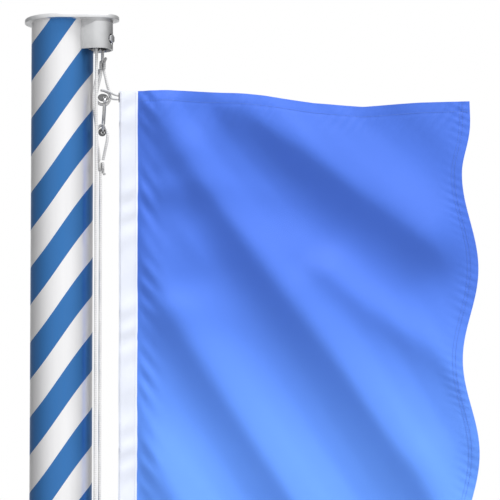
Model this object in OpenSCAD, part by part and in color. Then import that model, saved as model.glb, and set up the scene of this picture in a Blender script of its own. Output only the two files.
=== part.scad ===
// Outside-halyard flagpole: a striped aluminium tube on a bolted base, with a cast cap and pulley
// housing on top, an endless halyard, two snap hooks with their knots, and an upright flag.
// The origin is the centre of the base plate's underside, +Z is up, and +X is the halyard side.

/* [Pole] */
// Height of the pole's top above the ground
pole_height = 6000; // [4500:50:7500]
// Outside diameter of the pole's tube
pole_od = 100; // [84:1:125]
// Wall of the pole's tube
pole_wall = 3; // [2:0.5:6]

/* [Base] */
// Width of the square base plate
base_w = 260; // [250:5:340]
// Thickness of the base plate
base_t = 12; // [8:1:25]
// Distance between anchor holes, hole to hole
anchor_span = 200; // [190:5:240]
// Diameter of each anchor hole
anchor_d = 18; // [12:1:22]
// Height of the socket above the base plate
socket_h = 200; // [140:10:320]
// Wall of the socket
socket_wall = 9.7; // [8:0.1:14]
// Thickness of the four ribs
rib_t = 8; // [5:1:12]
// Height of the four ribs
rib_h = 110; // [60:5:130]
// Diameter of the clamping screws in the socket
clamp_d = 10; // [8:1:12]

/* [Cap] */
// Thickness of the cap's plate
cap_t = 6.5; // [5:0.5:10]
// How far the cap's plate stands past the tube
cap_overhang = 11; // [8:0.5:16]
// How far the cap's plate stands past the pulley housing
nose_overhang = 10; // [6:0.5:14]
// Depth of the ring that plugs the tube
spigot_h = 30; // [15:1:60]

/* [Pulley] */
// Distance from the tube's face to the middle of the sheave
sheave_reach = 16; // [15:0.5:20]
// Outside diameter of the sheave
sheave_od = 36; // [32:0.5:38]
// Width of the sheave
sheave_w = 12; // [10:0.5:14]
// Diameter of the sheave's axle
axle_d = 8; // [6:0.5:10]
// Height of the pulley housing
housing_h = 48; // [44:1:70]
// Wall of the pulley housing
housing_wall = 3; // [2.5:0.5:4]
// Gap between the sheave's rim and the housing's sides
sheave_gap = 3; // [2.5:0.5:6]

/* [Halyard] */
// Diameter of the halyard rope
rope_d = 5; // [4:0.25:5]
// Distance between the two falls of the halyard
rope_span = 23; // [22.5:0.5:25]
// Height of the cleat's middle above the ground
cleat_z = 1300; // [900:50:1800]
// Length of the cleat from horn to horn
cleat_len = 170; // [140:5:220]

/* [Flag] */
// Width of the flag as it flies, header included
flag_w = 575; // [300:25:800]
// Height of the flag
flag_h = 1500; // [800:50:2500]
// Distance from the pole's top down to the flag's top
flag_drop = 113; // [112:1:200]
// Width of the header tape along the hoist
header_w = 30; // [20:1:50]
// Thickness of the flag's soft solid
flag_t = 4; // [3:0.5:8]
// Half the depth of the flag's folds
fold_depth = 20; // [5:1:30]
// Turn of the flag away from the halyard side, in degrees
flag_bearing = 24; // [18:1:40]

/* [Hidden] */
// Clearances
fit = 0.3;            // between pieces that lie against each other
pin_fit = 0.05;       // radial, round a pin or an axle
side_play = 0.8;      // beside the sheave

// Pole and base
pole_r = pole_od / 2;
bore_r = pole_r - pole_wall;
socket_ri = pole_r + fit;
socket_ro = socket_ri + socket_wall;
base_corner_r = 15;
rib_inset = 10;       // from the rib's foot to the plate's edge
clamp_count = 4;
clamp_head_t = 6;
clamp_drop = 40;        // screws below the socket's rim
rib_toe = 12;           // height of a rib at its foot
rib_shoulder = 14;      // depth of a rib at its top
clamp_head_af = 1.6;  // across the corners, as a share of the screw's diameter

// Cap and pulley housing
sheave_x = pole_r + sheave_reach;
housing_ri = sheave_od / 2 + sheave_gap;
housing_ro = housing_ri + housing_wall;
housing_x = sheave_x - 2.5;
housing_z = pole_height - housing_h;
roof_t = 3;
axle_z = pole_height - 31;
spot_x = housing_x + housing_ro - 4.5;   // flat that the axle's head bears on
boss_r = 9;
outer_boss_r = 11;
spot_r = 8.6;
washer_t = 1.2;
head_t = 5.5;
head_corner_d = axle_d * 1.85;
cap_rim = 1.2;        // chamfer round the plate's edge
saddle_x = pole_r + 3.5;

// Halyard
rope_r = rope_d / 2;
loop_d = 4;            // cord that ties the flag to its hook
loop_end = 0.8;        // where that cord stops short of the header
fall_y = rope_span / 2;
rope_sides = 8;
rope_steps = 3;        // rings between two points of a rope's path

// Cleat
neck_r = fall_y - rope_r - 1;
horn_x = pole_r + 34;
horn_r = 7;
horn_taper = 0.22;    // share of the cleat's length that tapers at each end
horn_tip = 0.6;       // tip of a horn, as a share of its radius
screw_inset = 12;     // cleat screws from the pad's ends
screw_r = 5;
screw_t = 2.4;
pad_w = 30;
pad_h = 76;
pad_t = 9;
belay_z = 45;         // half the height of the belay turns
belay_y = 15;         // half their width
belay_back_x = horn_x - horn_r - rope_r - 1.2;
belay_front_x = horn_x + horn_r + rope_r + fit;
belay_rings = 48;
belay_start = 6;       // degrees round the turn that each end stops short

// Flag, in a frame that hangs on the rear fall: x along the flag, y away from it, z up from its top
flag_z = pole_height - flag_drop;
header_u = 27.2;
cloth_u = header_u + header_w + fit;
cloth_w = flag_w - header_w - fit;
fold_steps = 34;
folds = 2.5;

// Snap hook, in a frame at the middle of its lower bend
hook_lean = 3.4;
hook_u = 1;
hook_foot = -67.5;
hook_len = 56.6;
hook_r = 10;          // radius of the wire's bends
wire_r = 2.3;
pivot_z = 15;
gate_r = 2.7;
gate_top = hook_len - hook_r - 2.2;
gate_gap = 0.5;
tongue_t = 2.2;
slot_w = 2.9;
gate_pin_r = 1;
thimble_t = 7;
thimble_hole_r = 3.25;
upper_eye = [10.8, 8.3]; // half width and height of each rope eye, to the middle of its rope
lower_eye = [8.7, 8.7];
upper_shift = 3.4;      // each thimble off the middle of the hook's bend
lower_shift = 1.2;

// Knots and rope legs at a snap hook: [along the flag, away from it, up from the flag's top]
knot_r = 5.2;
knot_top_z = 49;
knot_top_h = 15;
knot_low_u = -1.6;
knot_low_z = -114;
knot_low_h = 17;
fall_low_u = -2.6;
eye_top_path = [[2.4, 0, 33.5], [4.6, 0, 24], [7, 1, 13], [9.4, 3, 4], [12, 6, -5], [11, 7, -14],
    [6.8, 5, -20.6], [2, 3.6, -21.4], [-4, 4, -20.4], [-9, 4.8, -16], [-10.2, 4.4, -8], [-8.6, 3.4, 2],
    [-6, 1.8, 13], [-3, 0.4, 26], [-2.6, 0, 33.5]];
bypass_path = [[-4.6, 6, 36], [-8.4, 4.6, 28], [-11.5, 1, 12], [-13.6, -2, -4], [-14, -2.4, -20],
    [-12.6, -1, -36], [-10.4, 2, -52], [-9.4, 5, -70], [-8.6, 7, -88], [-7, 8, -104], [-5.4, 7.4, -116]];
eye_low_path = [[1.2, 0, -113.2], [3.2, -2, -104], [5.8, -4.4, -92], [8.2, -6.2, -80], [8.6, -6.4, -70],
    [6.2, -4.4, -61.4], [1.4, -2, -57], [-4.6, -3, -57.8], [-9, -5, -64.4], [-9.6, -6, -73], [-8, -5, -84],
    [-5.8, -3, -98], [-4.4, 0, -113.2]];
flag_loop_path = [[header_u - loop_end, 0, -7.4], [19, -1, -5.6], [11, -4.6, -2.2], [4.5, -6.6, -0.2],
    [-0.6, -5, 0.6], [-1.6, 0, 0.9], [1.4, 2.6, 1.1], [5.2, 2.2, -0.6], [9, 0.2, -2.8], [12.4, -0.6, -8.4],
    [15, -0.7, -12], [20, -0.6, -13.2], [header_u - loop_end, 0, -13.2]];

$fn = 64;

// ---- shapes shared by several pieces ----

function unit(v) = v / norm(v);

// Smooth curve through hand-picked points, with a few steps between each pair
function spline_point(p, i, t) =
    let (n = len(p) - 1,
         a = p[max(i - 1, 0)], b = p[i], c = p[min(i + 1, n)], d = p[min(i + 2, n)])
    0.5 * (2 * b + (c - a) * t + (2 * a - 5 * b + 4 * c - d) * t * t
        + (3 * b - a - 3 * c + d) * t * t * t);
function spline(p, steps) =
    concat([for (i = [0:len(p) - 2]) for (s = [0:steps - 1]) spline_point(p, i, s / steps)],
        [p[len(p) - 1]]);

// Direction of a path at one of its points
function along(path, i) = unit(path[min(i + 1, len(path) - 1)] - path[max(i - 1, 0)]);

// Sideways directions carried along a path without twist
function carried(path, i, side) =
    i >= len(path) ? [] :
    let (t = along(path, i), flat = unit(side - (side * t) * t))
    concat([flat], carried(path, i + 1, flat));

// Round rope swept along points; side is any direction across its start
module rope(path, d, side = [0, 1, 0]) {
    last = len(path) - 1;
    sides = carried(path, 0, side);
    rings = [for (i = [0:last]) let (up = cross(along(path, i), sides[i])) for (k = [0:rope_sides - 1])
        path[i] + d / 2 * (cos(360 * k / rope_sides) * sides[i] + sin(360 * k / rope_sides) * up)];
    skin = [for (i = [0:last - 1]) for (k = [0:rope_sides - 1])
        let (a = i * rope_sides, b = a + rope_sides, m = (k + 1) % rope_sides)
        [a + k, b + k, b + m, a + m]];
    ends = [[for (k = [0:rope_sides - 1]) k],
        [for (k = [rope_sides - 1:-1:0]) last * rope_sides + k]];
    polyhedron(points = rings, faces = concat(skin, ends), convexity = 10);
}

// Outline of two circles joined by their outer tangents, as one smooth ring of points
module egg(big_r, small_r, reach) {
    lean = acos((big_r - small_r) / reach);
    steps = 30;
    polygon(concat(
        [for (k = [0:steps]) let (a = lean + (360 - 2 * lean) * k / steps) big_r * [cos(a), sin(a)]],
        [for (k = [0:steps / 2]) let (a = -lean + 2 * lean * k * 2 / steps)
            [reach, 0] + small_r * [cos(a), sin(a)]]));
}

// Flat almond, wide along x and high along y
module almond(half_w, half_h) {
    polygon([for (a = [0:12:348]) [half_w * cos(a), half_h * sin(a)]]);
}

// Places its children in the flag's frame at the top corner of the hoist
module at_flag() {
    translate([sheave_x, fall_y, flag_z]) rotate([0, 0, flag_bearing]) children();
}

// The same at the bottom corner, turned upside down
module at_foot() {
    translate([0, 0, 2 * flag_z - flag_h]) mirror([0, 0, 1]) at_flag() children();
}

module at_hook() {
    translate([hook_u, 0, hook_foot]) rotate([0, hook_lean, 0]) children();
}

// ---- base ----

module base_plate() {
    side = base_w / 2 - base_corner_r;
    color("lightgray") difference() {
        linear_extrude(base_t) union() {
            square([base_w, 2 * side], center = true);
            square([2 * side, base_w], center = true);
            for (x = [-side, side], y = [-side, side]) translate([x, y]) circle(base_corner_r);
        }
        for (x = [-1, 1], y = [-1, 1])
            translate([x * anchor_span / 2, y * anchor_span / 2, -1]) cylinder(d = anchor_d, h = base_t + 2);
    }
}

module base_socket() {
    color("lightgray") difference() {
        translate([0, 0, base_t]) cylinder(r = socket_ro, h = socket_h);
        translate([0, 0, base_t - 1]) cylinder(r = socket_ri, h = socket_h + 2);
        clamp_spots() cylinder(d = clamp_d + 2 * pin_fit, h = socket_ro);
    }
}

// Four radial seats above the ribs, between them
module clamp_spots() {
    for (k = [0:clamp_count - 1])
        rotate([0, 0, 45 + k * 360 / clamp_count]) translate([0, 0, base_t + socket_h - clamp_drop])
            rotate([0, 90, 0]) children();
}

module base_ribs() {
    foot = base_w / 2 - rib_inset;
    color("lightgray") for (k = [0:3]) rotate([0, 0, 90 * k]) translate([0, rib_t / 2, base_t])
        rotate([90, 0, 0]) linear_extrude(rib_t)
            polygon([[socket_ro + fit, 0], [foot, 0], [foot, rib_toe], [socket_ro + rib_shoulder, rib_h],
                [socket_ro + fit, rib_h]]);
}

module socket_screws() {
    color("silver") clamp_spots() {
        translate([0, 0, pole_r + pin_fit]) cylinder(d = clamp_d, h = socket_ro - pole_r + 1.5);
        translate([0, 0, socket_ro + fit])
            cylinder(d = clamp_d * clamp_head_af, h = clamp_head_t, $fn = 6);
    }
}

// ---- pole, cap and pulley ----

module pole_tube() {
    color("white") difference() {
        translate([0, 0, base_t]) cylinder(r = pole_r, h = pole_height - base_t);
        translate([0, 0, base_t - 1]) cylinder(r = bore_r, h = pole_height);
    }
}

module cap_plate() {
    big = pole_r + cap_overhang;
    small = housing_ro + nose_overhang;
    ring_r = bore_r - fit;
    color("silver") translate([0, 0, pole_height]) union() {
        linear_extrude(cap_t - cap_rim) egg(big, small, housing_x);
        translate([0, 0, cap_t - cap_rim]) linear_extrude(cap_rim)
            egg(big - cap_rim, small - cap_rim, housing_x);
        translate([0, 0, -spigot_h]) difference() {
            cylinder(r = ring_r, h = spigot_h + 1);
            translate([0, 0, -1]) cylinder(r = ring_r - 4, h = spigot_h + 1);
        }
    }
}

// Space in the housing for the sheave and the two falls, open below
module housing_room() {
    translate([0, 0, housing_z - 1]) linear_extrude(housing_h - roof_t + 1) union() {
        translate([housing_x, 0]) circle(housing_ri);
        translate([saddle_x, -housing_ri]) square([housing_x - saddle_x, 2 * housing_ri]);
    }
}

module axle_bosses() {
    inner = sheave_x - sheave_w / 2 - side_play;
    outer = sheave_x + sheave_w / 2 + side_play;
    translate([saddle_x - 1, 0, axle_z]) rotate([0, 90, 0]) cylinder(r = boss_r, h = inner - saddle_x + 1);
    translate([outer, 0, axle_z]) rotate([0, 90, 0]) cylinder(r = outer_boss_r, h = spot_x + 1 - outer);
}

module pulley_housing() {
    color("silver") difference() {
        union() {
            difference() {
                translate([0, 0, housing_z]) linear_extrude(housing_h) union() {
                    translate([housing_x, 0]) circle(housing_ro);
                    translate([0, -housing_ro]) square([housing_x, 2 * housing_ro]);
                }
                housing_room();
            }
            translate([0, -housing_ri - 1, housing_z])
                cube([saddle_x, 2 * housing_ri + 2, housing_h - roof_t / 2]);
            axle_bosses();
        }
        translate([0, 0, housing_z - 1]) cylinder(r = pole_r + fit, h = housing_h + 2);
        translate([spot_x, 0, axle_z]) rotate([0, 90, 0]) cylinder(r = spot_r, h = housing_ro);
        translate([pole_r, 0, axle_z]) rotate([0, 90, 0]) cylinder(r = axle_d / 2 + pin_fit, h = housing_x);
    }
}

module sheave() {
    rim = sheave_od / 2;
    half = sheave_w / 2;
    color("dimgray") translate([sheave_x, 0, axle_z]) rotate([0, 90, 0]) rotate_extrude()
        difference() {
            translate([axle_d / 2 + pin_fit, -half]) square([rim - axle_d / 2 - pin_fit, sheave_w]);
            translate([fall_y, 0]) circle(rope_r + fit);
            polygon([[fall_y, -rope_r - fit], [rim + 1, -half + 1], [rim + 1, half - 1], [fall_y, rope_r + fit]]);
        }
}

module axle_bolt() {
    color("silver") translate([0, 0, axle_z]) rotate([0, 90, 0]) {
        translate([0, 0, pole_r + fit]) cylinder(d = axle_d, h = spot_x + washer_t - pole_r);
        translate([0, 0, spot_x + washer_t]) cylinder(d = head_corner_d, h = head_t, $fn = 6);
    }
}

module axle_washer() {
    color("gainsboro") translate([spot_x, 0, axle_z]) rotate([0, 90, 0]) difference() {
        cylinder(r = spot_r - 0.4, h = washer_t);
        translate([0, 0, -1]) cylinder(r = axle_d / 2 + pin_fit, h = washer_t + 2);
    }
}

// ---- halyard ----

module fall(x, y, top, bottom) {
    color("white") translate([x, y, bottom]) cylinder(r = rope_r, h = top - bottom);
}

module halyard_over_sheave() {
    color("white") translate([sheave_x, 0, axle_z]) rotate([90, 0, 90])
        rotate_extrude(angle = 180) translate([fall_y, 0]) circle(rope_r);
}

module halyard_turn() {
    color("white") translate([sheave_x, 0, cleat_z]) rotate([-90, 0, 90])
        rotate_extrude(angle = 180) translate([fall_y, 0]) circle(rope_r);
}

module halyard_front() {
    fall(sheave_x, -fall_y, axle_z, cleat_z);
}

module halyard_rear_top() {
    fall(sheave_x, fall_y, axle_z, flag_z + knot_top_z);
}

module halyard_hoist() {
    foot = knot_low_z - knot_low_h;
    at_flag() fall(fall_low_u, 0, foot, -flag_h - foot);
}

module halyard_rear_low() {
    fall(sheave_x, fall_y, flag_z - flag_h - knot_top_z, cleat_z);
}

// One figure of eight round the cleat's horns, open where its ends tuck in
module halyard_belay() {
    path = [for (k = [0:belay_rings])
        let (a = belay_start + (360 - 2 * belay_start) * k / belay_rings,
             lift = a > 180 ? (rope_d + fit) * pow(sin(a), 2) : 0,
             depth = (1 - cos(2 * a)) / 2)
        [belay_back_x + (belay_front_x - belay_back_x) * depth + lift,
         belay_y * sin(2 * a), belay_z * cos(a)]];
    color("white") translate([0, 0, cleat_z]) rope(path, rope_d, side = [1, 0, 0]);
}

// ---- knots, eyes and snap hook ----

module barrel(u, top, height) {
    edge = 1.8;
    color("white") translate([u, 0, top - height]) rotate_extrude() union() {
        translate([0, edge]) square([knot_r, height - 2 * edge]);
        square([knot_r - edge, height]);
        for (z = [edge, height - edge]) translate([knot_r - edge, z]) circle(edge);
    }
}

module knot_a() {
    barrel(0, knot_top_z, knot_top_h);
}

module knot_b() {
    barrel(knot_low_u, knot_low_z, knot_low_h);
}

module eye_a() {
    color("white") rope(spline(eye_top_path, rope_steps), rope_d);
}

module bypass() {
    color("white") rope(spline(bypass_path, rope_steps), rope_d);
}

module eye_b() {
    color("white") rope(spline(eye_low_path, rope_steps), rope_d);
}

module flag_loop() {
    color("white") rope(spline(flag_loop_path, rope_steps), loop_d);
}

// Dark shackle plate with the hole that the hook's bend runs through
module thimble(eye, hole_shift) {
    color("dimgray") rotate([90, 0, 0]) difference() {
        translate([-hole_shift, 0, -thimble_t / 2]) linear_extrude(thimble_t)
            almond(eye.x - rope_r, eye.y - rope_r);
        translate([0, 0, -thimble_t]) cylinder(r = thimble_hole_r, h = 2 * thimble_t);
    }
}

module thimble_a() {
    at_hook() translate([0, 0, hook_len]) thimble(upper_eye, upper_shift);
}

module thimble_b() {
    at_hook() thimble(lower_eye, lower_shift);
}

module half_bend() {
    rotate([90, 0, 90]) rotate_extrude(angle = 180) translate([hook_r, 0]) circle(wire_r);
}

module snap_hook() {
    straight = hook_len - 2 * hook_r;
    shoulder = pivot_z - 4.4;
    color("silver") at_hook() union() {
        translate([0, 0, hook_len - hook_r]) half_bend();
        translate([0, 0, hook_r]) mirror([0, 0, 1]) half_bend();
        translate([0, hook_r, hook_r - 0.01]) cylinder(r = wire_r, h = straight + 0.02);
        translate([0, -hook_r, hook_r - 0.01]) cylinder(r = wire_r, h = shoulder - hook_r + 0.01);
        translate([-tongue_t / 2, -hook_r - 1.8, hook_r]) cube([tongue_t, 3.6, pivot_z + 2 - hook_r]);
        translate([-gate_r, -hook_r, pivot_z]) rotate([0, 90, 0]) cylinder(r = gate_pin_r, h = 2 * gate_r);
    }
}

module hook_gate() {
    foot = pivot_z - 3;
    color("gainsboro") at_hook() difference() {
        translate([0, -hook_r, foot]) cylinder(r = gate_r, h = gate_top - gate_gap - foot);
        translate([-slot_w / 2, -hook_r - 4, foot - 1]) cube([slot_w, 8, pivot_z + 3.5 - foot + 1]);
        translate([-gate_r - 1, -hook_r, pivot_z]) rotate([0, 90, 0])
            cylinder(r = gate_pin_r + pin_fit, h = 2 * gate_r + 2);
    }
}

// ---- flag ----

module flag_header() {
    color("lavender") at_flag() translate([header_u, -flag_t / 2, -flag_h]) cube([header_w, flag_t, flag_h]);
}

function fold(s) = fold_depth * sin(360 * folds * s) * min(1, 3 * s);

module flag_cloth() {
    near = [for (k = [0:fold_steps]) let (s = k / fold_steps) [cloth_u + cloth_w * s, fold(s) - flag_t / 2]];
    far = [for (k = [fold_steps:-1:0]) let (s = k / fold_steps) [cloth_u + cloth_w * s, fold(s) + flag_t / 2]];
    color("royalblue") at_flag() translate([0, 0, -flag_h]) linear_extrude(flag_h) polygon(concat(near, far));
}

// ---- cleat ----

module cleat() {
    plain = cleat_len * (0.5 - horn_taper);
    color("silver") translate([0, 0, cleat_z]) difference() {
        union() {
            translate([pole_r - 4, -pad_w / 2, -pad_h / 2]) cube([pad_t + 4, pad_w, pad_h]);
            rotate([0, 90, 0]) cylinder(r = neck_r, h = horn_x);
            for (s = [0, 1]) mirror([0, 0, s]) translate([horn_x, 0, 0]) {
                cylinder(r = horn_r, h = plain);
                translate([0, 0, plain])
                    cylinder(r1 = horn_r, r2 = horn_r * horn_tip, h = cleat_len * horn_taper);
            }
        }
        translate([0, 0, -pad_h]) cylinder(r = pole_r + fit, h = 2 * pad_h);
    }
}

module cleat_screws() {
    color("gainsboro") for (z = [-1, 1]) translate([pole_r + pad_t, 0, cleat_z + z * (pad_h / 2 - screw_inset)])
        rotate([0, 90, 0]) cylinder(r1 = screw_r, r2 = screw_r * 0.7, h = screw_t);
}

base_plate();
base_ribs();
base_socket();
socket_screws();
pole_tube();
cap_plate();
pulley_housing();
sheave();
axle_bolt();
axle_washer();
halyard_over_sheave();
halyard_front();
halyard_rear_top();
halyard_hoist();
halyard_rear_low();
halyard_turn();
halyard_belay();
at_flag() knot_a();  // knot_a_top
at_flag() eye_a();  // eye_a_top
at_flag() bypass();  // bypass_top
at_flag() thimble_a();  // thimble_a_top
at_flag() snap_hook();  // snap_hook_top
at_flag() hook_gate();  // hook_gate_top
at_flag() thimble_b();  // thimble_b_top
at_flag() eye_b();  // eye_b_top
at_flag() knot_b();  // knot_b_top
at_flag() flag_loop();  // flag_loop_top
at_foot() knot_a();  // knot_a_low
at_foot() eye_a();  // eye_a_low
at_foot() bypass();  // bypass_low
at_foot() thimble_a();  // thimble_a_low
at_foot() snap_hook();  // snap_hook_low
at_foot() hook_gate();  // hook_gate_low
at_foot() thimble_b();  // thimble_b_low
at_foot() eye_b();  // eye_b_low
at_foot() knot_b();  // knot_b_low
at_foot() flag_loop();  // flag_loop_low
flag_header();
flag_cloth();
cleat();
cleat_screws();
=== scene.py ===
"""Striped flagpole with a cap pulley, a roped halyard, snap hooks and a hanging satin flag.

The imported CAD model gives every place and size. This script builds the finished surfaces round it.
"""

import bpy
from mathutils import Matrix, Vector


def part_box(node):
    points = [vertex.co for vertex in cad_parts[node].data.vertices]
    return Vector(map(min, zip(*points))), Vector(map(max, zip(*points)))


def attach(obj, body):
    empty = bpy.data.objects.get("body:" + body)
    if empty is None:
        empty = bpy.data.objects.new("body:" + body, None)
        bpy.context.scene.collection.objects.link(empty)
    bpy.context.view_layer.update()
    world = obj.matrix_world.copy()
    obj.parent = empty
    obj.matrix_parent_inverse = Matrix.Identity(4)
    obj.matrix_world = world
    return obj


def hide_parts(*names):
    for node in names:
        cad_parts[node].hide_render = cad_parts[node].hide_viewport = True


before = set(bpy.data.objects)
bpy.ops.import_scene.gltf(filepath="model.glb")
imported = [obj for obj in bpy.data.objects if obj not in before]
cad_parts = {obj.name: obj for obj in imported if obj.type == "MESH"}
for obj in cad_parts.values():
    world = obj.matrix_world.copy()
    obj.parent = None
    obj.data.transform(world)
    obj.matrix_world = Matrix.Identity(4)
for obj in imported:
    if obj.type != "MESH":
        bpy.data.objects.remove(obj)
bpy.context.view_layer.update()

import logging
import math
from dataclasses import dataclass, field
from enum import Enum
from typing import Iterable, Sequence

import bmesh
import bpy
import numpy as np
from mathutils import Vector

log = logging.getLogger("flagpole")
MM = 0.001
Color = tuple[float, float, float]
Socket = bpy.types.NodeSocket
Tree = bpy.types.NodeTree


# ---------------------------------------------------------------- shader helpers


def put(tree: Tree, kind: str, settings: dict | None = None, sockets: dict | None = None) -> bpy.types.Node:
    """Adds one node to a tree.

    Args:
        tree: the tree that gets the node.
        kind: the node's type name, without the ShaderNode prefix.
        settings: attributes of the node.
        sockets: input name or number, with a value to set or a socket to link.

    Returns:
        The new node.
    """
    node = tree.nodes.new("ShaderNode" + kind)
    for key, value in (settings or {}).items():
        setattr(node, key, value)
    for key, value in (sockets or {}).items():
        if isinstance(value, bpy.types.NodeSocket):
            tree.links.new(value, node.inputs[key])
        else:
            node.inputs[key].default_value = value
    return node


def math_node(tree: Tree, operation: str, *values: float | Socket) -> Socket:
    """Adds a Math node and returns its result."""
    return put(tree, "Math", {"operation": operation}, dict(enumerate(values))).outputs[0]


def remap(tree: Tree, value: Socket, low: float, high: float, to_low: float, to_high: float) -> Socket:
    """Adds a smooth Map Range node and returns its result."""
    return put(tree, "MapRange", {"interpolation_type": "SMOOTHSTEP"},
               {0: value, 1: low, 2: high, 3: to_low, 4: to_high}).outputs[0]


def blend_colors(tree: Tree, share: float | Socket, first: Color | Socket, second: Color | Socket) -> Socket:
    """Mixes two colours and returns the result.

    Args:
        tree: the tree that gets the node.
        share: how much of the second colour shows.
        first: the colour at share 0.
        second: the colour at share 1.
    """
    node = put(tree, "Mix", {"data_type": "RGBA"}, {0: share})
    for number, value in ((6, first), (7, second)):
        if isinstance(value, bpy.types.NodeSocket):
            tree.links.new(value, node.inputs[number])
        else:
            node.inputs[number].default_value = (*value, 1)
    return node.outputs[2]


def bump(tree: Tree, height: Socket, distance: float, strength: float = 1.0) -> Socket:
    """Adds a Bump node and returns its normal."""
    return put(tree, "Bump", None, {"Height": height, "Distance": distance, "Strength": strength}).outputs[0]


class Group(Enum):
    """The shared surface effects."""

    GRAIN = "fine_grain"
    WEAR = "edge_wear"
    WEAVE = "thread_weave"
    BRAID = "rope_braid"


class GroupBook:
    """Builds each shared node group once and places it in materials."""

    def __init__(self) -> None:
        """Starts with no groups built."""
        self._built: dict[Group, bpy.types.NodeTree] = {}

    def place(self, tree: Tree, group: Group, **values: float | Socket) -> bpy.types.Node:
        """Adds a group node with its own values.

        Args:
            tree: the material's tree.
            group: which effect.
            values: the group's inputs by name, with underscores for spaces.

        Returns:
            The group node, whose outputs are the effect's values.
        """
        if group not in self._built:
            self._built[group] = getattr(self, "_" + group.name.lower())(group.value)
        node = tree.nodes.new("ShaderNodeGroup")
        node.node_tree = self._built[group]
        for key, value in values.items():
            socket = node.inputs[key.replace("_", " ")]
            if isinstance(value, bpy.types.NodeSocket):
                tree.links.new(value, socket)
            else:
                socket.default_value = value
        return node

    @staticmethod
    def _start(name: str, inputs: dict[str, float | None], outputs: Iterable[str]) -> tuple:
        """Makes an empty group.

        Args:
            name: the group's name.
            inputs: each input's name and default, or None for a vector.
            outputs: names of the float outputs.

        Returns:
            The tree, its input node and its output node.
        """
        tree = bpy.data.node_groups.new(name, "ShaderNodeTree")
        for key, default in inputs.items():
            kind = "NodeSocketVector" if default is None else "NodeSocketFloat"
            socket = tree.interface.new_socket(key, in_out="INPUT", socket_type=kind)
            if default is not None:
                socket.default_value = default
        for key in outputs:
            tree.interface.new_socket(key, in_out="OUTPUT", socket_type="NodeSocketFloat")
        return tree, tree.nodes.new("NodeGroupInput"), tree.nodes.new("NodeGroupOutput")

    def _grain(self, name: str) -> Tree:
        """Fine pits and larger cloudy patches over the whole surface."""
        tree, given, out = self._start(name, {"Pits": 900.0, "Patches": 14.0, "Stretch": 1.0},
                                       ("Height", "Patch"))
        place = put(tree, "TexCoord").outputs["Object"]
        squeeze = put(tree, "CombineXYZ", None, {0: 1.0, 1: 1.0, 2: given.outputs["Stretch"]})
        spot = put(tree, "VectorMath", {"operation": "MULTIPLY"}, {0: place, 1: squeeze.outputs[0]})
        pits = put(tree, "TexNoise", None, {"Vector": spot.outputs[0], "Scale": given.outputs["Pits"],
                                            "Detail": 3.0, "Roughness": 0.55})
        patches = put(tree, "TexNoise", None, {"Vector": spot.outputs[0], "Scale": given.outputs["Patches"],
                                               "Detail": 5.0, "Roughness": 0.6})
        tree.links.new(pits.outputs[0], out.inputs["Height"])
        tree.links.new(remap(tree, patches.outputs[0], 0.35, 0.68, 0.0, 1.0), out.inputs["Patch"])
        return tree

    def _wear(self, name: str) -> Tree:
        """Rubbed outer edges, broken up so that no edge is worn all along."""
        tree, given, out = self._start(name, {"Amount": 0.6, "Break": 120.0}, ("Mask",))
        edge = put(tree, "NewGeometry").outputs["Pointiness"]
        place = put(tree, "TexCoord").outputs["Object"]
        spots = put(tree, "TexNoise", None, {"Vector": place, "Scale": given.outputs["Break"],
                                             "Detail": 4.0}).outputs[0]
        rubbed = math_node(tree, "MULTIPLY", remap(tree, edge, 0.52, 0.6, 0.0, 1.0),
                           remap(tree, spots, 0.4, 0.6, 0.0, 1.0))
        tree.links.new(math_node(tree, "MULTIPLY", rubbed, given.outputs["Amount"]), out.inputs["Mask"])
        return tree

    def _weave(self, name: str) -> Tree:
        """Over and under threads, on coordinates in metres."""
        tree, given, out = self._start(name, {"Place": None, "Threads": 2000.0, "Slant": 0.0},
                                       ("Height", "Warp"))
        parts = put(tree, "SeparateXYZ", None, {0: given.outputs["Place"]})
        turn = math_node(tree, "MULTIPLY", given.outputs["Threads"], math.pi)
        slanted = math_node(tree, "MULTIPLY_ADD", parts.outputs[1], given.outputs["Slant"], parts.outputs[0])
        warp = math_node(tree, "SINE", math_node(tree, "MULTIPLY", slanted, turn))
        weft = math_node(tree, "SINE", math_node(tree, "MULTIPLY", parts.outputs[1], turn))
        crown = math_node(tree, "MAXIMUM", math_node(tree, "ABSOLUTE", warp),
                          math_node(tree, "MULTIPLY", math_node(tree, "ABSOLUTE", weft), 0.75))
        tree.links.new(crown, out.inputs["Height"])
        tree.links.new(math_node(tree, "ABSOLUTE", warp), out.inputs["Warp"])
        return tree

    def _braid(self, name: str) -> Tree:
        """Strands that cross round a rope: x is the share of a turn, y the metres along."""
        tree, given, out = self._start(name, {"Place": None, "Strands": 4.0, "Pitch": 0.006},
                                       ("Height", "Groove"))
        parts = put(tree, "SeparateXYZ", None, {0: given.outputs["Place"]})
        round_it = math_node(tree, "MULTIPLY", parts.outputs[0], given.outputs["Strands"])
        along_it = math_node(tree, "DIVIDE", parts.outputs[1], given.outputs["Pitch"])
        waves = []
        for operation in ("ADD", "SUBTRACT"):
            turn = math_node(tree, "MULTIPLY", math_node(tree, operation, round_it, along_it), math.tau)
            waves.append(math_node(tree, "COSINE", turn))
        crown = math_node(tree, "MULTIPLY_ADD", math_node(tree, "MULTIPLY", *waves), 0.5, 0.5)
        tree.links.new(crown, out.inputs["Height"])
        # painted shade: how deep in a groove between strands a place lies
        tree.links.new(remap(tree, crown, 0.1, 0.5, 1.0, 0.0), out.inputs["Groove"])
        return tree


GROUPS = GroupBook()


# ---------------------------------------------------------------- finishes


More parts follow.
